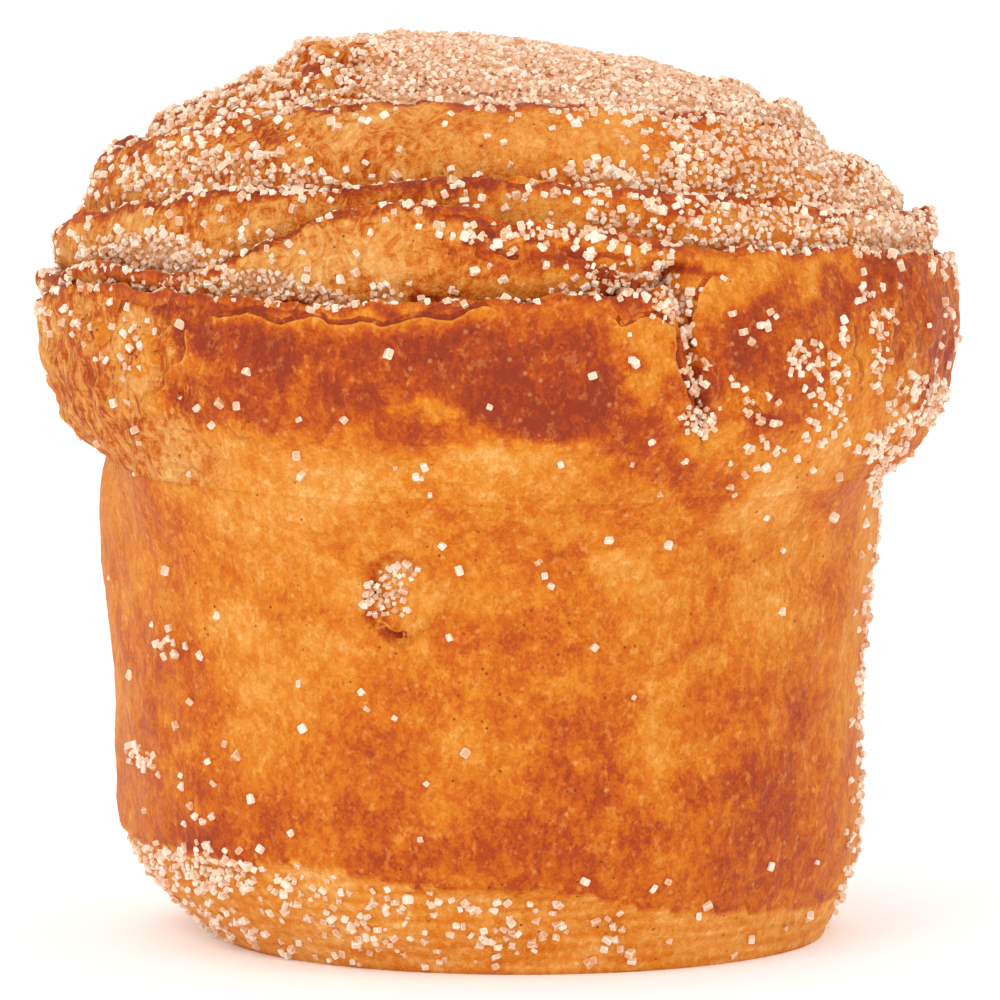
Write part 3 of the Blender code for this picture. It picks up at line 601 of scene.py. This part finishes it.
def rowPoint(azimuth, section, row):  # radius, height, the face's direction, zone, past, to lip, layer
    wallEnd = crust["baseRows"] + crust["wallRows"]
    collarEnd = wallEnd + crust["collarRows"]
    if row <= crust["baseRows"]:
        radius = row / crust["baseRows"] * (wallRadius(0) - cornerCut(azimuth, 0))
        return radius, 0.0, 1.0, 0.0, "base", openFace, openFace, -1
    if row <= wallEnd:
        share = (row - crust["baseRows"]) / crust["wallRows"]
        height = neckHeight(azimuth) * share ** crust["wallRowSpread"]
        radius = wallRadius(height) - cornerCut(azimuth, height) + swell(azimuth, height, 0.0)
        step = crust["skinStep"] * smooth((skinEdge(azimuth) - height) / crust["skinStepWidth"])
        step *= 1 - 0.85 * smooth((math.cos(azimuth) - 0.2) / 0.4)
        radius -= step * smooth(height / 0.002) + blisterDent(azimuth, height)
        return radius, height, 1.0, 0.0, "wall", openFace, openFace, -1
    if row <= collarEnd:
        angle = (row - wallEnd) / crust["collarRows"] * quarter
        down = max(math.cos(angle), 0.0) ** form["collarCurve"]
        height = mix(form["collarHeight"], neckHeight(azimuth), down)
        radius = form["neckRadius"] + swell(azimuth, height, math.sin(angle) ** form["collarCurve"])
        return radius, height, 1.0, 0.0, "wrap", openFace, openFace, -1
    latitude, lift, past, toLip, layer = section[row - collarEnd]
    return *domePoint(latitude, lift), "wrap" if layer < 0 else "dome", past, toLip, layer


def makeCrust():
    ball = bmesh.new()
    bmesh.ops.create_uvsphere(ball, u_segments=crust["columns"], v_segments=rows, radius=1)
    bmesh.ops.triangulate(ball, faces=ball.faces[:])
    mesh = bpy.data.meshes.new("crust")
    ball.to_mesh(mesh)
    ball.free()
    seamMiddle = coil["seam"] + crust["seamDrift"] / 2
    sections = []
    for column in range(crust["columns"]):
        azimuth = column * turn / crust["columns"]
        away = turnedFrom(azimuth, seamMiddle)
        azimuth -= crust["gatherShare"] * away * math.exp(-((away / crust["gatherReach"]) ** 2))
        sections.append((azimuth, domeSection(azimuth)))
    print("coil laid out")
    looks = {"baked": [], "frosted": [], "sugared": [], "torn": [], "strand": []}
    for point in mesh.vertices:
        row = round((math.asin(min(max(point.co.z, -1), 1)) / math.pi + 0.5) * rows)
        column = round(math.atan2(point.co.y, point.co.x) / turn * crust["columns"]) % crust["columns"]
        azimuth, section = sections[column]
        radius, height, outward, upward, zone, past, toLip, layer = rowPoint(azimuth, section, row)
        c = math.cos(azimuth)
        place = onCrust(azimuth, radius, height, outward, upward)
        sugared = sugaredAt(azimuth, place, zone, past, toLip, layer)
        relief = 0.0
        torn = 0.0
        if zone != "base":
            leftish = smooth((-c + 0.25) / 0.8)
            torn = mix(0.35, 1.0, leftish) if zone == "dome" else 0.0
            if zone == "wrap":
                torn = smooth((-c - 0.58) / 0.14) + 0.5 * smooth((c - 0.78) / 0.1)
                relief = crust["shredHeight"] * torn * wobble(*place, crust["shredLength"], 3.5)
            relief += crust["crumbHeight"] * (1 + torn) * wobble(*place, crust["crumbLength"], 1.5)
            relief += crust["grainHeight"] * (1 + 2 * torn) * wobble(*place, crust["grainLength"], 2.5)
            if zone == "dome":
                strength = mix(0.25, 1.0, leftish) * smooth(toLip / 0.0006)
                relief += strands(azimuth, toLip, layer, strength)
                relief -= crust["sugarBed"] * smooth((sugared - 0.3) / 0.6)
            elif height < skinEdge(azimuth):
                relief += strands(azimuth, height, 20, 0.9 * smooth(height / 0.001))
            relief *= smooth(height / 0.0015)
        point.co = onCrust(azimuth, radius, height, outward, upward, relief)
        looks["baked"].append(bakedAt(azimuth, place, zone, past, toLip, layer))
        looks["frosted"].append(0.85 * smooth((sugared - 0.7) / 0.22) if zone == "dome" else 0.0)
        looks["sugared"].append(sugared)
        looks["torn"].append(torn)
        looks["strand"].extend((place.x, place.y, toLip if zone == "dome" else place.z))
    for name, values in looks.items():
        if name == "strand":
            mesh.attributes.new(name, "FLOAT_VECTOR", "POINT").data.foreach_set("vector", values)
        else:
            mesh.attributes.new(name, "FLOAT", "POINT").data.foreach_set("value", values)
    mesh.update()
    mesh.shade_smooth()
    return linked("crust", mesh)


# Torn edges: thin strips of skin that stand on the coil's lips

edges = {
    "stepsPerTurn": 330,
    "lastTurn": 3.9,
    "foot": 0.001,
    "proud": 0.0001,
    "rise": 0.00042,
    "curl": 0.00022,
    "thickness": 0.00018,
    "tearLength": 0.0022,
    "bare": 0.06,
}


def crestAt(turns):  # the lip's place, the face's directions outward and up along it, and its strength
    azimuth = (quarter - turns * turn) % turn
    below = lower = 0.0
    for latitude, strength, turnNumber in lipsAt(azimuth):
        if turnNumber == int(turns):
            break
        lower, below = latitude, strength
    gap = (latitude - lower) * domeSpan
    lift = layerLift(gap, gap, below, strength) * capRelief(latitude)
    radius, height, outward, upward = domePoint(latitude, lift)
    place = onCrust(azimuth, radius, height, outward, upward)
    facing = Vector((outward * math.cos(azimuth), outward * math.sin(azimuth), upward))
    along = Vector((-upward * math.cos(azimuth), -upward * math.sin(azimuth), outward))
    return place, facing, along, strength


def makeTornEdges():
    start = (quarter - coil["seam"]) % turn / turn + 0.004
    steps = int((edges["lastTurn"] - start) * edges["stepsPerTurn"])
    strip = bmesh.new()
    bmesh.ops.create_grid(strip, x_segments=steps, y_segments=3, size=1)
    baked = strip.verts.layers.float.new("baked")
    crests = {}
    for point in strip.verts:
        step = round((point.co.x + 1) / 2 * steps)
        row = round((point.co.y + 1) / 2 * 3)
        if step not in crests:
            crests[step] = crestAt(start + step / edges["stepsPerTurn"])
        place, facing, along, strength = crests[step]
        turns = start + step / edges["stepsPerTurn"]
        length = edges["tearLength"]
        tear = wobble(*place, length, 41.0) + 0.5 * wobble(*place, 0.3 * length, 42.0)
        rise = edges["rise"] * max(0.55 + 1.1 * tear, -0.6) * strength
        curl = edges["curl"] * (0.5 + wobble(*place, 1.7 * length, 43.0))
        whole = edges["bare"] - 0.5 * smooth(1.1 - turns) + 0.5 * smooth(turns + 1 - edges["lastTurn"])
        shown = smooth((wobble(*place, 3 * length, 44.0) - whole) / 0.3)  # gone where the lip is whole
        heights = (-edges["foot"], -0.3 * edges["foot"], 0.4 * rise, rise)
        prouds = (-0.0003, edges["proud"], edges["proud"] + 0.4 * curl, edges["proud"] + curl)
        sunk = -0.0008 * (1 - shown)
        point.co = place + along * heights[row] + facing * (prouds[row] + sunk)
        point[baked] = (0.5, 0.62, 0.72, 0.52)[row] + 0.35 * wobble(*place, 0.004, 45.0)
    return thinPiece("tornEdges", strip, edges["thickness"], 0)


# Torn skins on the front: thin strips that end in a torn edge and run back into the crust

skins = {
    "spacing": 0.0004,
    "tear": 0.0007,
    "tearLength": 0.003,
    "thickness": 0.00014,
    "fade": 0.002,
    # How dark the painted shadow behind each torn edge is, how pale the edge is (pale torn dough with a
    # painted highlight), and places in x and height along it; the skin lies to the left of the way
    "paths": (
        (1.0, 1.0, (0.001, 0.0624), (-0.003, 0.0619), (-0.006, 0.0613), (-0.009, 0.0609),
         (-0.012, 0.0612), (-0.0145, 0.0604), (-0.017, 0.0612), (-0.019, 0.0606), (-0.022, 0.061),
         (-0.0255, 0.0608), (-0.0275, 0.0604)),
        (0.0, 1.0, (-0.0272, 0.0604), (-0.0283, 0.059), (-0.0274, 0.0574), (-0.0286, 0.056), (-0.03, 0.0553),
         (-0.0298, 0.0538), (-0.0318, 0.053), (-0.0325, 0.0518), (-0.0308, 0.0506), (-0.0312, 0.0496)),
        (0.0, 1.0, (-0.033, 0.0592), (-0.0318, 0.058), (-0.0322, 0.0564), (-0.0306, 0.0556),
         (-0.0292, 0.056)),
        (0.0, 1.0, (-0.0252, 0.0522), (-0.0236, 0.0514), (-0.024, 0.0502), (-0.0222, 0.0496),
         (-0.0205, 0.05)),
        (1.0, 1.0, (-0.012, 0.0334), (-0.0106, 0.0322), (-0.0086, 0.032), (-0.0066, 0.0327)),
        (0.6, 1.0, (-0.0062, 0.0378), (-0.005, 0.0368), (-0.0055, 0.0356), (-0.0046, 0.0346)),
        (1.0, 1.0, (0.0172, 0.0508), (0.0175, 0.053), (0.0164, 0.0555), (0.0162, 0.058), (0.0158, 0.0603),
         (0.014, 0.0616), (0.012, 0.061), (0.0112, 0.06), (0.0106, 0.0613), (0.0085, 0.0622)),
        (1.0, 1.0, (0.0205, 0.065), (0.0188, 0.064), (0.0179, 0.062), (0.0176, 0.0598), (0.0181, 0.058),
         (0.0178, 0.0562)),
        (0.4, 1.0, (0.0328, 0.0512), (0.032, 0.0532), (0.0326, 0.0552), (0.0321, 0.057), (0.0324, 0.059),
         (0.0312, 0.0612)),
        (0.5, 1.0, (0.0238, 0.0552), (0.0231, 0.0535), (0.0242, 0.052), (0.024, 0.0508)),
        (0.2, 1.0, (0.036, 0.0548), (0.0352, 0.057), (0.0358, 0.0592), (0.035, 0.0612)),
        (0.8, 1.0, (-0.033, 0.058), (-0.0322, 0.0566), (-0.0335, 0.0552), (-0.035, 0.0548)),
        (0.8, 1.0, (-0.0365, 0.06), (-0.0372, 0.0584), (-0.036, 0.057), (-0.0368, 0.0556)),
        (1.0, 0.5, (0.0014, 0.0677), (-0.001, 0.0685), (-0.0034, 0.0691)),
        (1.0, 0.3, (0.0034, 0.066), (0.0003, 0.0669), (-0.0026, 0.0674)),
        (0.8, 0.3, (0.0135, 0.0655), (0.0105, 0.0663), (0.007, 0.0668), (0.004, 0.0676)),
    ),
}


def alongPath(path):  # places along the path, evenly spaced, each with the way to its left
    places = []
    for (x, z), (nextX, nextZ) in zip(path, path[1:]):
        length = math.hypot(nextX - x, nextZ - z)
        steps = max(round(length / skins["spacing"]), 1)
        for step in range(steps):
            share = step / steps
            left = (-(nextZ - z) / length, (nextX - x) / length)
            places.append((mix(x, nextX, share), mix(z, nextZ, share), *left))
    return places


def makeSkins(surface):
    sheet = bmesh.new()
    baked = sheet.verts.layers.float.new("baked")
    # how far each row lies behind the torn edge, how proud it is, its own tone and that tone's share;
    # the first two rows are a painted shadow line beside the edge, the next two its pale dough with a
    # painted highlight
    section = ((-0.00055, 0.00002, 0.95, 0.5), (-0.00006, 0.00004, 0.98, 0.9), (0.0, 0.00044, 0.22, 0.8),
               (0.0003, 0.0005, 0.36, 0.4), (0.0012, 0.00025, 0.0, 0.0), (0.0024, -0.0003, 0.0, 0.0))
    for dark, pale, *path in skins["paths"]:
        places = alongPath(path)
        steps = len(places) - 1
        for point in bmesh.ops.create_grid(sheet, x_segments=steps, y_segments=5, size=1)["verts"]:
            step = round((point.co.x + 1) / 2 * steps)
            back, proud, tone, share = section[round((point.co.y + 1) / 2 * 5)]
            near = [places[min(max(step + way, 0), steps)] for way in (-3, -2, -1, 0, 1, 2, 3)]
            x, z, leftX, leftZ = (sum(values) / len(near) for values in zip(*near))
            tear = skins["tear"] * (wobble(x, 0, z, skins["tearLength"], 51.0)
                                    + 0.5 * wobble(x, 0, z, 0.3 * skins["tearLength"], 52.0))
            away = tear + back
            spot, normal, _, _ = surface.ray_cast(Vector((x + leftX * away, -0.1, z + leftZ * away)),
                                                  Vector((0, 1, 0)))
            end = smooth(min(step, steps - step) * skins["spacing"] / skins["fade"])
            curl = 0.6 + 0.8 * wobble(x, 0, z, 0.003, 53.0)
            point.co = spot + normal * mix(-0.0004, proud * curl, end)
            azimuth = math.atan2(spot.y, spot.x)
            level = bakedAt(azimuth, spot, "wrap" if spot.z > 0.0445 else "wall", openFace, openFace, -1)
            # painted shadow on the first two rows, pale edge with a painted highlight on the next two
            point[baked] = mix(level, tone, share * (pale if back >= 0 else dark))
    return thinPiece("tornSkins", sheet, skins["thickness"], -1)


# Materials


def linear(red, green, blue):  # a screen colour, 0 to 255, as the shader's colour
    channels = []
    for value in (red, green, blue):
        value /= 255
        channels.append(value / 12.92 if value <= 0.04045 else ((value + 0.055) / 1.055) ** 2.4)
    return (*channels, 1.0)


class Tree:  # short ways to add nodes to a material
    def __init__(self, name):
        self.material = bpy.data.materials.new(name)
        self.material.use_nodes = True
        self.nodes = self.material.node_tree.nodes
        self.links = self.material.node_tree.links
        self.finish = self.nodes["Principled BSDF"]

    def plug(self, slot, value):
        if isinstance(value, bpy.types.NodeSocket):
            self.links.new(value, slot)
        else:
            slot.default_value = value

    def attribute(self, name, output="Fac"):
        node = self.nodes.new("ShaderNodeAttribute")
        node.attribute_name = name
        return node.outputs[output]

    def sum(self, *values):  # each value is a number, a socket, or a pair of a socket and its strength
        total = 0.0
        for value in values:
            socket, strength = value if isinstance(value, tuple) else (value, 1.0)
            node = self.nodes.new("ShaderNodeMath")
            node.operation = "MULTIPLY_ADD"
            self.plug(node.inputs[0], socket)
            self.plug(node.inputs[1], strength)
            self.plug(node.inputs[2], total)
            total = node.outputs[0]
        return total

    def product(self, first, second):
        node = self.nodes.new("ShaderNodeMath")
        node.operation = "MULTIPLY"
        self.plug(node.inputs[0], first)
        self.plug(node.inputs[1], second)
        return node.outputs[0]

    def ranged(self, value, low, high, toLow, toHigh):
        node = self.nodes.new("ShaderNodeMapRange")
        self.plug(node.inputs["Value"], value)
        for name, number in (("From Min", low), ("From Max", high), ("To Min", toLow), ("To Max", toHigh)):
            node.inputs[name].default_value = number
        return node.outputs["Result"]

    def noise(self, where, scale, detail, roughness, distortion=0.0):
        node = self.nodes.new("ShaderNodeTexNoise")
        node.inputs["Scale"].default_value = scale
        node.inputs["Detail"].default_value = detail
        node.inputs["Roughness"].default_value = roughness
        node.inputs["Distortion"].default_value = distortion
        self.links.new(where, node.inputs["Vector"])
        return node.outputs["Fac"]

    def apart(self, value, middle):  # how far a value is from the middle
        node = self.nodes.new("ShaderNodeMath")
        node.operation = "ABSOLUTE"
        self.plug(node.inputs[0], self.sum(value, -middle))
        return node.outputs[0]

    def cells(self, where, scale):
        node = self.nodes.new("ShaderNodeTexVoronoi")
        node.inputs["Scale"].default_value = scale
        self.links.new(where, node.inputs["Vector"])
        return node.outputs["Distance"], node.outputs["Color"]

    def stretched(self, where, scale):
        node = self.nodes.new("ShaderNodeMapping")
        node.inputs["Scale"].default_value = scale
        self.links.new(where, node.inputs["Vector"])
        return node.outputs["Vector"]

    def blend(self, first, second, share):
        node = self.nodes.new("ShaderNodeMix")
        node.data_type = "RGBA"
        self.plug(node.inputs[6], first)
        self.plug(node.inputs[7], second)
        self.plug(node.inputs[0], share)
        return node.outputs[2]


bakedLook = {
    "tones": ((0.0, (241, 186, 114)), (0.2, (229, 154, 68)), (0.4, (219, 130, 32)), (0.6, (204, 101, 14)),
              (0.8, (176, 68, 16)), (1.0, (146, 50, 20))),
    "crumb": (240, 180, 116),
    "bubble": (238, 182, 112),
    "pore": (112, 44, 20),
    "blotches": 130,
    "flakes": 240,
    "flecks": 420,
    "fineFlecks": 1150,
    "shreds": 620,
    "grain": 3000,
    "wrinkles": 120,
    "strands": 260,
    "paleFlecks": 1050,
    "bubbles": 760,
    "pores": 800,
    "porousAreas": 95,
}

frostLook = {"dark": (206, 134, 80), "light": (247, 214, 180), "grains": 1850}


def crustLook():
    tree = Tree("bakedCrust")
    finish = tree.finish
    where = tree.nodes.new("ShaderNodeTexCoord").outputs["Object"]
    baked = tree.attribute("baked")
    frosted = tree.attribute("frosted")
    torn = tree.attribute("torn")

    # crisp flakes and thin raised wrinkles over soft blotches
    blotches = tree.noise(where, bakedLook["blotches"], 4, 0.6)
    flakes = tree.ranged(tree.noise(where, bakedLook["flakes"], 6, 0.72), 0.47, 0.53, -0.5, 0.5)
    upright = tree.stretched(where, (1.0, 1.0, 0.8))
    flecks = tree.ranged(tree.noise(upright, bakedLook["flecks"], 4, 0.6, 0.5), 0.43, 0.57, -0.5, 0.5)
    fineFlecks = tree.ranged(tree.noise(upright, bakedLook["fineFlecks"], 3, 0.65), 0.46, 0.54, -0.5, 0.5)
    paleFlecks = tree.ranged(tree.noise(upright, bakedLook["paleFlecks"], 3, 0.6), 0.34, 0.43, 1.0, 0.0)
    shreds = tree.noise(tree.stretched(where, (1.0, 1.0, 0.55)), bakedLook["shreds"], 4, 0.65, 1.6)
    shreds = tree.product(tree.ranged(shreds, 0.42, 0.58, -0.5, 0.5), torn)
    grain = tree.noise(where, bakedLook["grain"], 2, 0.7)
    ridge = tree.noise(where, bakedLook["wrinkles"], 4, 0.6, 1.2)
    wrinkles = tree.product(tree.ranged(tree.apart(ridge, 0.5), 0.0, 0.014, 1.0, 0.0),
                            tree.ranged(blotches, 0.48, 0.62, 0.0, 1.0))
    strand = tree.stretched(tree.attribute("strand", "Vector"), (1.0, 1.0, 9.0))
    strandLines = tree.product(tree.sum(tree.noise(strand, bakedLook["strands"], 3, 0.6), -0.5), torn)
    level = tree.sum(baked, (blotches, 0.35), (flakes, 0.09), (flecks, 0.07), (fineFlecks, 0.12),
                     (paleFlecks, -0.11), (shreds, 0.34), (grain, 0.4), (wrinkles, -0.15),
                     (strandLines, 0.4), -0.33)

    tones = tree.nodes.new("ShaderNodeValToRGB")
    ramp = tones.color_ramp
    while len(ramp.elements) < len(bakedLook["tones"]):
        ramp.elements.new(0.5)
    for element, (place, colour) in zip(ramp.elements, bakedLook["tones"]):
        element.position = place
        element.color = linear(*colour)
    tree.links.new(level, tones.inputs["Fac"])

    bubbleDistance, bubbleColour = tree.cells(where, bakedLook["bubbles"])
    bubble = tree.product(tree.ranged(bubbleDistance, 0.1, 0.22, 0.32, 0.0),
                          tree.ranged(bubbleColour, 0.62, 0.64, 0.0, 1.0))
    poreDistance, poreColour = tree.cells(where, bakedLook["pores"])
    pore = tree.product(tree.ranged(poreDistance, 0.07, 0.14, 0.85, 0.0),
                        tree.ranged(poreColour, 0.45, 0.47, 0.0, 1.0))
    porous = tree.ranged(tree.noise(where, bakedLook["porousAreas"], 2, 0.5), 0.42, 0.53, 0.15, 1.0)
    pore = tree.product(pore, porous)
    grainDistance, grainColour = tree.cells(where, frostLook["grains"])
    frost = tree.blend(linear(*frostLook["dark"]), linear(*frostLook["light"]),
                       tree.sum(tree.ranged(grainDistance, 0.2, 0.6, 0.5, 0.0), (grainColour, 0.6)))

    crumb = tree.product(torn, tree.ranged(level, 0.35, 0.65, 0.25, 0.0))
    colour = tree.blend(tones.outputs["Color"], linear(*bakedLook["crumb"]), crumb)
    colour = tree.blend(colour, linear(*bakedLook["bubble"]), tree.sum(bubble, (paleFlecks, 0.12)))
    colour = tree.blend(colour, linear(*bakedLook["pore"]), pore)
    colour = tree.blend(colour, frost, frosted)
    tree.links.new(colour, finish.inputs["Base Color"])

    # glazed where it is browned, matt where it is pale, torn or frosted
    rough = tree.sum(tree.ranged(level, 0.3, 0.95, 0.6, 0.44), (frosted, 0.25), (torn, 0.1))
    tree.links.new(rough, finish.inputs["Roughness"])
    finish.inputs["Specular IOR Level"].default_value = 0.16

    relief = tree.sum((flakes, 0.2), (flecks, -0.16), (fineFlecks, -0.16), (grain, 0.4),
                      (tree.product(grain, torn), 0.64), (strandLines, 0.9), (shreds, -0.55))
    bump = tree.nodes.new("ShaderNodeBump")
    bump.inputs["Strength"].default_value = 0.6
    bump.inputs["Distance"].default_value = 0.0005
    tree.links.new(relief, bump.inputs["Height"])
    tree.links.new(bump.outputs["Normal"], finish.inputs["Normal"])
    return tree.material


# the face colour is a painted see-through tint of the crust under the clear crystal, the edge colour a
# painted highlight
sugarTone = {"face": (220, 160, 110), "edge": (255, 238, 216), "roughness": 0.28}


def sugarLook():
    tree = Tree("sugarCrystal")
    # blends from the painted see-through tint to the painted highlight
    tone = tree.blend(linear(*sugarTone["face"]), linear(*sugarTone["edge"]), tree.attribute("edge"))
    tree.links.new(tone, tree.finish.inputs["Base Color"])
    tree.finish.inputs["Roughness"].default_value = sugarTone["roughness"]
    tree.finish.inputs["Specular IOR Level"].default_value = 0.5
    return tree.material


# Sugar crystals, scattered over the crust


def crystalShape(rounding):  # a cube's corners and faces, and which of the faces are on its edges
    shape = bmesh.new()
    bmesh.ops.create_cube(shape, size=1)
    if rounding:
        bmesh.ops.bevel(shape, geom=shape.edges[:], offset=rounding, affect="EDGES", segments=1, profile=0.5,
                        material=-1)
    broad = max(face.calc_area() for face in shape.faces)
    isEdge = [face.calc_area() < 0.9 * broad for face in shape.faces]
    points = np.array([tuple(point.co) for point in shape.verts])
    sides = [[point.index for point in face.verts] for face in shape.faces]
    shape.free()
    return points, sides, isEdge


def scatteredSpots(mesh, draw):  # places on the crust and the faces' directions there
    triangles = np.empty(len(mesh.polygons) * 3, dtype=np.int64)
    mesh.polygons.foreach_get("vertices", triangles)
    triangles = triangles.reshape(-1, 3)
    # Blender lists the triangles in another order each run, so they are put in one order here
    lowest = triangles.argmin(axis=1)
    triangles = np.take_along_axis(triangles, (lowest[:, None] + np.arange(3)) % 3, axis=1)
    triangles = triangles[np.lexsort(triangles.T[::-1])]
    places = np.empty(len(mesh.vertices) * 3)
    mesh.vertices.foreach_get("co", places)
    corners = places.reshape(-1, 3)[triangles]
    level = np.empty(len(mesh.vertices), dtype=np.float32)
    mesh.attributes["sugared"].data.foreach_get("value", level)
    across = np.cross(corners[:, 1] - corners[:, 0], corners[:, 2] - corners[:, 0])
    size = np.linalg.norm(across, axis=1)
    thick = level[triangles].mean(axis=1)
    weight = size * thick**1.5
    picked = draw.choice(len(triangles), sugar["candidates"], p=weight / weight.sum())
    first, second = draw.random(len(picked)), draw.random(len(picked))
    over = first + second > 1
    first[over], second[over] = 1 - first[over], 1 - second[over]
    corner = corners[picked]
    spots = corner[:, 0] + first[:, None] * (corner[:, 1] - corner[:, 0])
    spots += second[:, None] * (corner[:, 2] - corner[:, 0])
    facing = across[picked] / np.maximum(size[picked], 1e-12)[:, None]
    kept = {}
    for index, spot in enumerate(spots):  # each crystal takes a cell of its own, so that none pile up
        kept.setdefault(tuple((spot / sugar["spacing"]).astype(int)), index)
    most = sum(kind["most"] for kind in sugar["kinds"].values())
    kept = np.array(sorted(kept.values()))
    kept = draw.permutation(kept)[:most]
    kept = kept[np.argsort(thick[picked][kept] + 0.4 * draw.random(len(kept)))]  # the thinnest places first
    return spots[kept], facing[kept]


def aloneSpots(surface):  # where the lone crystals' places on the front meet the crust
    spots, facing = [], []
    for x, height in sugar["alone"]:
        spot, normal, _, _ = surface.ray_cast(Vector((x, -0.1, height)), Vector((0, 1, 0)))
        spots.append(spot)
        facing.append(normal)
    return np.array(spots), np.array(facing)


def makeCrystals(name, spots, facing, sizes, rounding, draw, material):
    points, sides, isEdge = crystalShape(rounding)
    count = len(spots)
    turns = draw.normal(size=(count, 4))
    w, x, y, z = (turns / np.linalg.norm(turns, axis=1)[:, None]).T
    spin = np.stack([
        1 - 2 * (y * y + z * z), 2 * (x * y - z * w), 2 * (x * z + y * w),
        2 * (x * y + z * w), 1 - 2 * (x * x + z * z), 2 * (y * z - x * w),
        2 * (x * z - y * w), 2 * (y * z + x * w), 1 - 2 * (x * x + y * y)], axis=1).reshape(-1, 3, 3)
    size = draw.uniform(*sizes, count)
    stretch = draw.uniform(0.55, 1.1, (count, 3))
    local = points[None] * (stretch * size[:, None])[:, None, :]
    local = np.einsum("nij,nkj->nki", spin, local)
    rise = size * draw.uniform(-0.15, 0.2, count)
    world = local + (spots + facing * rise[:, None])[:, None, :]
    mesh = bpy.data.meshes.new(name)
    each = len(points)
    faces = [[number * each + corner for corner in side] for number in range(count) for side in sides]
    mesh.from_pydata(world.reshape(-1, 3).tolist(), [], faces)
    tone = draw.uniform(0.0, 1.0, count) ** 1.3
    # a random tone for each crystal, with its bevel faces 0.4 paler as a painted highlight
    edge = np.tile(np.array(isEdge, dtype=float), count) * 0.4 + np.repeat(tone, len(sides))
    mesh.attributes.new("edge", "FLOAT", "FACE").data.foreach_set("value", np.clip(edge, 0, 1))
    mesh.materials.append(material)
    mesh.update()
    return linked(name, mesh)


# Stage, lights and camera

stage = {
    "floor": (0.95, 0.95, 0.95, 1),
    "floorSize": 6,
    "glow": 0.17,
    "sky": 0.92,
    "lamps": {
        "key": {"place": (-0.45, -0.75, 0.75), "size": 0.5, "power": 3.2},
        "fill": {"place": (0.8, -0.6, 0.35), "size": 0.7, "power": 0.8},
        "top": {"place": (0.05, 0.25, 0.95), "size": 0.7, "power": 1.4},
    },
    "warmth": (1.0, 0.985, 0.965),
}


def makeStage():
    ground = bmesh.new()
    bmesh.ops.create_grid(ground, x_segments=1, y_segments=1, size=stage["floorSize"])
    mesh = bpy.data.meshes.new("floor")
    ground.to_mesh(mesh)
    ground.free()
    floor = linked("floor", mesh)
    tree = Tree("paleFloor")
    tree.finish.inputs["Base Color"].default_value = stage["floor"]
    tree.finish.inputs["Emission Color"].default_value = (1, 1, 1, 1)
    tree.finish.inputs["Emission Strength"].default_value = stage["glow"]
    tree.finish.inputs["Roughness"].default_value = 0.9
    tree.finish.inputs["Specular IOR Level"].default_value = 0.1
    mesh.materials.append(tree.material)

    world = bpy.data.worlds.new("studio")
    world.use_nodes = True
    sky = world.node_tree.nodes["Background"]
    sky.inputs["Color"].default_value = (1, 1, 1, 1)
    sky.inputs["Strength"].default_value = stage["sky"]
    bpy.context.scene.world = world

    for name, lamp in stage["lamps"].items():
        light = bpy.data.lights.new(name, "AREA")
        light.size = lamp["size"]
        light.energy = lamp["power"]
        light.color = stage["warmth"]
        holder = linked(name, light)
        holder.location = lamp["place"]
        toCruffin = Vector((0, 0, 0.04)) - holder.location
        holder.rotation_euler = toCruffin.to_track_quat("-Z", "Y").to_euler()


view = {"distance": 1.5, "elevation": math.radians(7), "field": 0.0922, "aim": Vector((0.0002, 0, 0.0401))}


def makeCamera():
    lens = bpy.data.cameras.new("camera")
    lens.sensor_width = 36
    lens.lens = lens.sensor_width * view["distance"] / view["field"]
    lens.clip_start = 0.05
    lens.clip_end = 30
    towards = Vector((0, -math.cos(view["elevation"]), math.sin(view["elevation"])))
    camera = linked("camera", lens)
    camera.location = view["aim"] + towards * view["distance"]
    camera.rotation_euler = (-towards).to_track_quat("-Z", "Y").to_euler()
    bpy.context.scene.camera = camera


makeStage()
makeCamera()
bpy.context.scene.view_settings.view_transform = "Standard"
print("stage set")

crustMaterial = crustLook()
crustPiece = makeCrust()
crustPiece.data.materials.append(crustMaterial)
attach(crustPiece, "root")
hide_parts("cruffin")
print("crust made:", len(crustPiece.data.polygons), "triangles")

edgePiece = makeTornEdges()
edgePiece.data.materials.append(crustMaterial)
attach(edgePiece, "root")
crustSurface = BVHTree.FromObject(crustPiece, bpy.context.evaluated_depsgraph_get())
skinPiece = makeSkins(crustSurface)
skinPiece.data.materials.append(crustMaterial)
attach(skinPiece, "root")
print("torn edges and skins made")

draw = np.random.default_rng(sugar["seed"])
spots, facing = scatteredSpots(crustPiece.data, draw)
loneSpots, loneFacing = aloneSpots(crustSurface)
spots = np.concatenate([loneSpots, spots])
facing = np.concatenate([loneFacing, facing])
sugarMaterial = sugarLook()
start = 0
for name, kind in sugar["kinds"].items():
    end = min(start + kind["most"], len(spots))
    piece = makeCrystals(name, spots[start:end], facing[start:end], kind["sizes"], kind["rounding"], draw,
                         sugarMaterial)
    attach(piece, "root")
    print(name, "made:", end - start, "crystals of", len(spots))
    start = end
